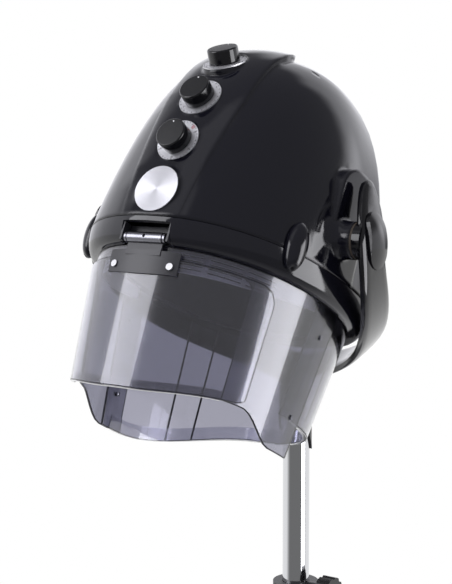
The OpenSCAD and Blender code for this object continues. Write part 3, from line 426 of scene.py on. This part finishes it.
def hem(name, points, deep, tall, body, material):
    """Turned-in lower edge of a sheet: a ledge inwards and a leg back up, solid, as one strip; its level
    faces take a pale grey, a painted highlight.
    """
    bm = bmesh.new()
    row = [bm.verts.new(p) for p in points]
    line = [bm.edges.new(pair) for pair in zip(row, row[1:])]
    inward = [Vector((-p.x, AXIS_Y - p.y, 0)).normalized() for p in points]
    for v, i in zip(row, inward):
        v.co -= i * HEM_PROUD + Vector((0, 0, HEM_DROP))

    def nearest(v):
        """Place in the row of the vertex that one was drawn out of."""
        return min(range(len(row)), key=lambda k: (row[k].co - v.co).length)

    for step, rise in ((deep + HEM_PROUD, 0.0), (0.0, tall)):
        made = bmesh.ops.extrude_edge_only(bm, edges=line)["geom"]
        fresh = sorted((g for g in made if isinstance(g, bmesh.types.BMVert)), key=nearest)
        for v, i in zip(fresh, inward):
            v.co += i * step + Vector((0, 0, rise))
        row = fresh
        edges = [g for g in made if isinstance(g, bmesh.types.BMEdge)]
        line = [e for e in edges if e.verts[0] in row and e.verts[1] in row]
    bmesh.ops.recalc_face_normals(bm, faces=bm.faces)
    bmesh.ops.solidify(bm, geom=bm.faces[:], thickness=HEM_WALL)
    bmesh.ops.recalc_face_normals(bm, faces=bm.faces)
    # Level faces take the second material, a pale grey that paints a highlight on the ledge
    for f in bm.faces:
        f.material_index = 1 if abs(f.normal.z) > LEVEL_SHARE else 0
    shade_smooth(bm, HEM_SMOOTH_ARC)
    bmesh.ops.transform(bm, matrix=Matrix.Scale(MM, 4) @ HOOD, verts=bm.verts)
    obj = new_piece(name, bm, material, body)
    obj.data.materials.append(hem_ledge_painted_highlight)
    return obj


# Each node's finish, the body that it rides on and the slot of its colour
finishes = {
    "dome_shell": (dome_abs, "hood", "dome"), "rim_band": (band_abs, "hood", "band"),
    "side_lugs": (dome_abs, "hood", "dome"), "fork": (fork_lacquer, "fork", "fork"),
    "pivot_caps": (fork_lacquer, "fork", "fork"), "visor": (smoked, "visor", "smoked"),
    "front_shield": (smoked_front, "hood", "smoked"), "rear_shield": (smoked, "hood", "smoked"),
    "hinge_leaf": (hinge_abs, "visor", "black_matte"), "hinge_bracket": (hinge_abs, "hood", "black_matte"),
    "bonnet": (bonnet_abs, "hood", "black_matte"), "air_grille": (grille_abs, "hood", "grille"),
    "star_base": (base_nylon, "base", "base"), "outer_tube": (tube_chrome, "base", "chrome"),
    "inner_tube": (tube_chrome, "mast", "chrome"), "clamp_sleeve": (base_nylon, "base", "base"),
    "clamp_knob": (base_nylon, "clamp", "base"), "pole_bush": (base_nylon, "base", "black_matte"),
    "badge_plate": (satin_badge, "hood", "silver"), "cable_gland": (hinge_abs, "hood", "black_matte"),
    "shield_clips": (smoked, "hood", "black_matte"), "neck_strips": (hinge_abs, "hood", "black_matte"),
    "hinge_barrel": (satin_barrel, "visor", "silver"), "impeller": (fan_aluminium, "fan", "impeller"),
    "motor": (motor_steel, "hood", "motor"), "fan_deck": (zinc_steel, "hood", "steel"),
    "heater_coil": (coil_wire, "hood", "coil"), "heater_frame": (mica, "hood", "mica"),
    "timer_unit": (zinc_steel, "hood", "steel"), "swivel_plug": (plug_nylon, "mast", "nylon"),
    "guide_plug": (plug_nylon, "mast", "nylon"),
}
for i in range(1, 6):
    finishes[f"castor_body_{i}"] = (base_nylon, f"castor_{i}", "base")
    finishes[f"castor_wheels_{i}"] = (tread, f"wheels_{i}", "rubber")
for key, (z, lean) in CONTROLS.items():
    place = control_frame(z, lean)
    finishes["knob_" + key] = (knob_abs("Moulded_knob_" + key, "#101013", place), "knob_" + key, "knob")
    dial = turned_metal("Turned_aluminium_dial_" + key, "#dcdce0", 0.34, 0.6, place, 0.7)
    finishes["dial_plate_" + key] = (dial, "hood", "silver")
for node, (material, body, slot) in finishes.items():
    dressed = smoothed(node, material, body)
    if node in ("visor", "front_shield", "rear_shield"):
        across(dressed)

# Depth and height of the turned-in edges, and how far round the visor its own goes either way
VISOR_HEM = (3.0, 11.0)
NECK_HEM = (3.4, 17.0)
VISOR_HEM_ARC = 46
visor_edge = [p for p in lower_edge("visor", False)
              if abs(math.atan2(p.x, AXIS_Y - p.y)) < math.radians(VISOR_HEM_ARC)]
hem("visor_hem", visor_edge, *VISOR_HEM, "visor", smoked_lip)
# The neck's turned-in edge in the paler tint, a painted sheen
hem("neck_hem", lower_edge("rear_shield", True)[1:-1], *NECK_HEM, "hood", smoked_hem_painted_sheen)
for node, material in {"pivot_bolts": zinc_steel, "friction_washers": washer_fibre, "hinge_pin": zinc_steel,
                       "visor_screws": zinc_steel, "deck_screws": zinc_steel, "bonnet_screws": zinc_steel,
                       "thermal_cutout": zinc_steel, "terminal_block": white_pbt, "heat_switch": white_pbt,
                       "speed_switch": white_pbt, "shaft_low": zinc_steel, "shaft_mid": zinc_steel,
                       "shaft_top": zinc_steel}.items():
    paint(nodes[node], material)


def bar(bm, place, size):
    """A small bar, sized in millimetres in its own frame."""
    made = bmesh.ops.create_cube(bm, size=1)
    bmesh.ops.scale(bm, vec=size, verts=made["verts"])
    bmesh.ops.transform(bm, matrix=place, verts=made["verts"])


# Printed marks: distance from the plate's edge, width and thickness
MARK_MARGIN = 0.9
MARK_W = 0.7
MARK_T = 0.12


def dial_marks(name, place, angles, longs, material):
    """Printed marks round a knob, a hair thick, as one piece."""
    bm = bmesh.new()
    for a in angles:
        long = longs(a)
        out = Matrix.Translation((0, PLATE_R - MARK_MARGIN - long / 2, PLATE_TOP + MARK_T / 2))
        bar(bm, place @ Matrix.Rotation(math.radians(a), 4, "Z") @ out, (MARK_W, long, MARK_T))
    bmesh.ops.scale(bm, vec=(MM, MM, MM), verts=bm.verts)
    return new_piece(name, bm, material, "hood")


# Printed figures: distance from the plate's edge, height over its face and half thickness
FIGURE_MARGIN = 4.4
FIGURE_RISE = 0.08
FIGURE_T = 0.04


def dial_figures(name, place, figures, tall):
    """Plain printed figures round a knob: angle and figure pairs, upright, a hair thick."""
    bm = bmesh.new()
    for a, figure in figures:
        letters = bpy.data.curves.new("figure", "FONT")
        letters.body, letters.size, letters.extrude = figure, tall, FIGURE_T
        letters.align_x, letters.align_y = "CENTER", "CENTER"
        holder = bpy.data.objects.new("figure", letters)
        mesh = bpy.data.meshes.new_from_object(holder)
        turn = math.radians(a)
        r = PLATE_R - FIGURE_MARGIN
        spot = (-math.sin(turn) * r, math.cos(turn) * r, PLATE_TOP + FIGURE_RISE)
        mesh.transform(place @ Matrix.Translation(spot))
        bm.from_mesh(mesh)
        bpy.data.objects.remove(holder)
        bpy.data.curves.remove(letters)
        bpy.data.meshes.remove(mesh)
    bmesh.ops.scale(bm, vec=(MM, MM, MM), verts=bm.verts)
    return new_piece(name, bm, mark_ink, "hood")


# The dot's foot and top radius, its thickness and its place along the knob's radius
DOT_R = 0.95
DOT_TOP_R = 0.8
DOT_T = 0.5
DOT_SHARE = 0.76


def pointer_dot(name, place, body):
    """White inlay near the knob's edge."""
    bm = bmesh.new()
    sizes = {"radius1": DOT_R, "radius2": DOT_TOP_R, "depth": DOT_T}
    made = bmesh.ops.create_cone(bm, cap_ends=True, segments=20, **sizes)
    spot = place @ Matrix.Translation((0, KNOB_R * DOT_SHARE, KNOB_TOP))
    bmesh.ops.transform(bm, matrix=spot, verts=made["verts"])
    bmesh.ops.scale(bm, vec=(MM, MM, MM), verts=bm.verts)
    return new_piece(name, bm, white_ink, body)


LONG_MARK, SHORT_MARK, RED_MARK = 1.9, 1.1, 5.0
FIGURE_TALL = 3.4
RED_ANGLES = (-40, -36, -44)
# Step of the marks and the figures of each dial, degrees to the left of the top
DIALS = {"low": (10, [(0, "0"), (-60, "10"), (-120, "20"), (-180, "30"), (-240, "40"), (-300, "50")]),
         "mid": (15, [(135, "0"), (45, "1"), (-45, "2"), (-135, "3")]),
         "top": (15, [(135, "0"), (0, "1"), (-135, "2")])}
for key, (z, lean) in CONTROLS.items():
    place = control_frame(z, lean)
    pointer_dot("pointer_dot_" + key, place, "knob_" + key)
    step, figures = DIALS[key]
    dial_marks("dial_marks_" + key, place, range(0, 360, step),
               lambda a: LONG_MARK if a % 30 == 0 else SHORT_MARK, mark_ink)
    dial_figures("dial_figures_" + key, place, figures, FIGURE_TALL)
dial_marks("dial_red_mark", control_frame(*CONTROLS["low"]), RED_ANGLES, lambda a: RED_MARK, red_ink)


# Studio
# The camera as fitted to the photograph: degrees, pixels and metres
CAMERA_TURN, CAMERA_DIP = 33.854, 5.01
FOCAL_PX, WIDE_PX = 1400, 452
SHIFT_PX = (-2, -39)
SENSOR = 36
AWAY = (-0.000806, 0.02225, 1.67517)


def studio_camera():
    """Camera to the left of the hood's front, looking slightly down, 1.675 m from the pivots."""
    a, p = math.radians(CAMERA_TURN), math.radians(CAMERA_DIP)
    right = Vector((math.cos(a), math.sin(a), 0))
    up = Vector((-math.sin(a) * math.sin(p), math.cos(a) * math.sin(p), math.cos(p)))
    ahead = Vector((-math.sin(a) * math.cos(p), math.cos(a) * math.cos(p), -math.sin(p)))
    data = bpy.data.cameras.new("camera")
    data.sensor_fit = "HORIZONTAL"
    data.sensor_width = SENSOR
    data.lens = FOCAL_PX / WIDE_PX * SENSOR
    data.shift_x, data.shift_y = SHIFT_PX[0] / WIDE_PX, SHIFT_PX[1] / WIDE_PX
    data.clip_start, data.clip_end = 0.05, 50
    cam = bpy.data.objects.new("camera", data)
    spot = PIVOT * MM - (right * AWAY[0] + up * AWAY[1] + ahead * AWAY[2])
    turn = Matrix((right, up, -ahead)).transposed().to_4x4()
    cam.matrix_world = Matrix.Translation(spot) @ turn
    bpy.context.scene.collection.objects.link(cam)
    bpy.context.scene.camera = cam


def softbox(name, spot, aim, width, height, power, hidden):
    """An area lamp; hidden names the kind of rays that don't meet it."""
    data = bpy.data.lights.new(name, "AREA")
    data.shape = "RECTANGLE"
    data.size, data.size_y, data.energy = width, height, power
    data.color = (0.96, 0.96, 1.0)
    lamp = bpy.data.objects.new(name, data)
    turn = (Vector(aim) - Vector(spot)).to_track_quat("-Z", "Y").to_matrix().to_4x4()
    lamp.matrix_world = Matrix.Translation(spot) @ turn
    setattr(lamp, hidden, False)
    bpy.context.scene.collection.objects.link(lamp)


# Soft glows of the studio in gloss, in degrees and strength:
# turn from the front, half width, fade, rise, half height, fade, strength
GLOWS = ((-100, 38, 26, 2, 22, 16, 1.0), (-39, 15, 8, 14, 16, 10, 0.2), (142, 20, 8, -6, 14, 10, 0.8),
         (182, 22, 14, 28, 18, 14, 1.1), (-34, 14, 14, 62, 12, 12, 0.35))
# Level of the room in gloss and for diffuse light, and its red and green against its blue
DIM = 0.3
ROOM = 0.8
COOL = 0.95


def smooth_step(tree, value, low, high, start, end):
    """Eases from start to end while the value goes from low to high."""
    settings = {"interpolation_type": "SMOOTHSTEP", "From Min": low, "From Max": high,
                "To Min": start, "To Max": end}
    return add(tree, "ShaderNodeMapRange", settings, {"Value": value}).outputs["Result"]


def studio_world():
    """White to the camera and through the sheets, dim with soft glows in gloss, else a plain level."""
    world = bpy.data.worlds.new("studio")
    bpy.context.scene.world = world
    world.use_nodes = True
    tree = world.node_tree
    tree.nodes.clear()
    path = add(tree, "ShaderNodeLightPath")
    way = add(tree, "ShaderNodeTexCoord").outputs["Generated"]
    level = add(tree, "ShaderNodeValue").outputs["Value"]
    level.default_value = DIM
    for turn, half, fade, rise, tall, fade_up, strength in GLOWS:
        settings = {"rotation_type": "Z_AXIS", "Angle": math.radians(-turn)}
        turned = add(tree, "ShaderNodeVectorRotate", settings, {"Vector": way})
        part = add(tree, "ShaderNodeSeparateXYZ", None, {"Vector": turned.outputs["Vector"]})
        front = maths(tree, "MULTIPLY", part.outputs["Y"], -1.0)
        aside = maths(tree, "ABSOLUTE", maths(tree, "ARCTAN2", part.outputs["X"], front))
        up = maths(tree, "ARCSINE", part.outputs["Z"])
        off = maths(tree, "ABSOLUTE", maths(tree, "SUBTRACT", up, math.radians(rise)))
        wide = smooth_step(tree, aside, math.radians(half + fade), math.radians(half), 0.0, strength)
        high = smooth_step(tree, off, math.radians(tall + fade_up), math.radians(tall), 0.0, 1.0)
        level = maths(tree, "MULTIPLY_ADD", wide, high, level)
    links = {"Value": path.outputs["Is Glossy Ray"], "To Max": level}
    gloss = add(tree, "ShaderNodeMapRange", {"To Min": ROOM}, links).outputs["Result"]
    past = maths(tree, "MAXIMUM", path.outputs["Is Camera Ray"], path.outputs["Is Transmission Ray"])
    both = add(tree, "ShaderNodeMapRange", {"To Max": 1.0}, {"Value": past, "To Min": gloss})
    tint = spread(tree, past, COOL, 1.0)
    colour = add(tree, "ShaderNodeCombineColor", {"Blue": 1.0}, {"Red": tint, "Green": tint})
    links = {"Color": colour.outputs["Color"], "Strength": both.outputs["Result"]}
    back = add(tree, "ShaderNodeBackground", None, links)
    out = add(tree, "ShaderNodeOutputWorld")
    tree.links.new(back.outputs["Background"], out.inputs["Surface"])


# The floor: half size, where it turns white, the viewer's side and how dim gloss sees it there
FLOOR = 14
WHITE_FROM, WHITE_TO, WHITE_SHARE = 0.5, 2.2, 0.55
VIEWER_SIDE = (0.56, -0.83, 0)
DIM_FROM, DIM_TO, DIM_FLOOR = -0.1, 0.6, 0.2


def studio_floor():
    """Pale floor: it takes the shadow near the base, is white further off and dim in gloss at the front."""
    bm = bmesh.new()
    bmesh.ops.create_grid(bm, x_segments=2, y_segments=2, size=FLOOR)
    mesh = bpy.data.meshes.new("studio_floor")
    bm.to_mesh(mesh)
    bm.free()
    obj = bpy.data.objects.new("studio_floor", mesh)
    bpy.context.scene.collection.objects.link(obj)
    m, tree, shader = finish_named("Painted_studio_floor", "#f2f2f2", {"Roughness": 0.8})
    place = object_place(tree)
    dust = add(tree, "ShaderNodeTexNoise", {"Scale": 3.0, "Detail": 4.0}, {"Vector": place})
    tree.links.new(spread(tree, dust.outputs["Fac"], 0.75, 0.9), shader.inputs["Roughness"])
    path = add(tree, "ShaderNodeLightPath")
    seen = maths(tree, "MAXIMUM", path.outputs["Is Camera Ray"], path.outputs["Is Transmission Ray"])
    seen = maths(tree, "MAXIMUM", seen, path.outputs["Is Glossy Ray"])
    far = add(tree, "ShaderNodeVectorMath", {"operation": "LENGTH"}, {0: place}).outputs["Value"]
    white = smooth_step(tree, far, WHITE_FROM, WHITE_TO, WHITE_SHARE, 1.0)
    share = maths(tree, "MULTIPLY", seen, white)
    ahead = add(tree, "ShaderNodeVectorMath", {"operation": "NORMALIZE"}, {0: place}).outputs["Vector"]
    near = add(tree, "ShaderNodeVectorMath", {"operation": "DOT_PRODUCT", 1: VIEWER_SIDE}, {0: ahead})
    dim = smooth_step(tree, near.outputs["Value"], DIM_FROM, DIM_TO, 1.0, DIM_FLOOR)
    links = {"Value": path.outputs["Is Glossy Ray"], "To Max": dim}
    glow = add(tree, "ShaderNodeMapRange", {"To Min": 1.0}, links)
    light = add(tree, "ShaderNodeEmission", {"Color": (1, 1, 1, 1)}, {"Strength": glow.outputs["Result"]})
    mix = {0: share, 1: shader.outputs["BSDF"], 2: light.outputs["Emission"]}
    mixed = add(tree, "ShaderNodeMixShader", None, mix)
    tree.links.new(mixed.outputs["Shader"], tree.nodes["Material Output"].inputs["Surface"])
    paint(obj, m)


studio_camera()
studio_world()
studio_floor()
# Lamps: place, aim, width, height, power, and the rays that don't meet them
LAMPS = {
    "softbox_right": ((1.12, 0.08, 1.1), (0, -0.2, 1.2), 0.62, 1.15, 13, "visible_diffuse"),
    "softbox_left": ((-1.45, -2.0, 2.3), (0, -0.2, 1.2), 1.3, 1.6, 27, "visible_diffuse"),
    "softbox_top": ((-0.7, -1.0, 3.0), (0, -0.2, 1.3), 1.4, 1.2, 26, "visible_glossy"),
}
for name, lamp in LAMPS.items():
    softbox(name, *lamp)
bpy.context.scene.view_settings.view_transform = "Standard"
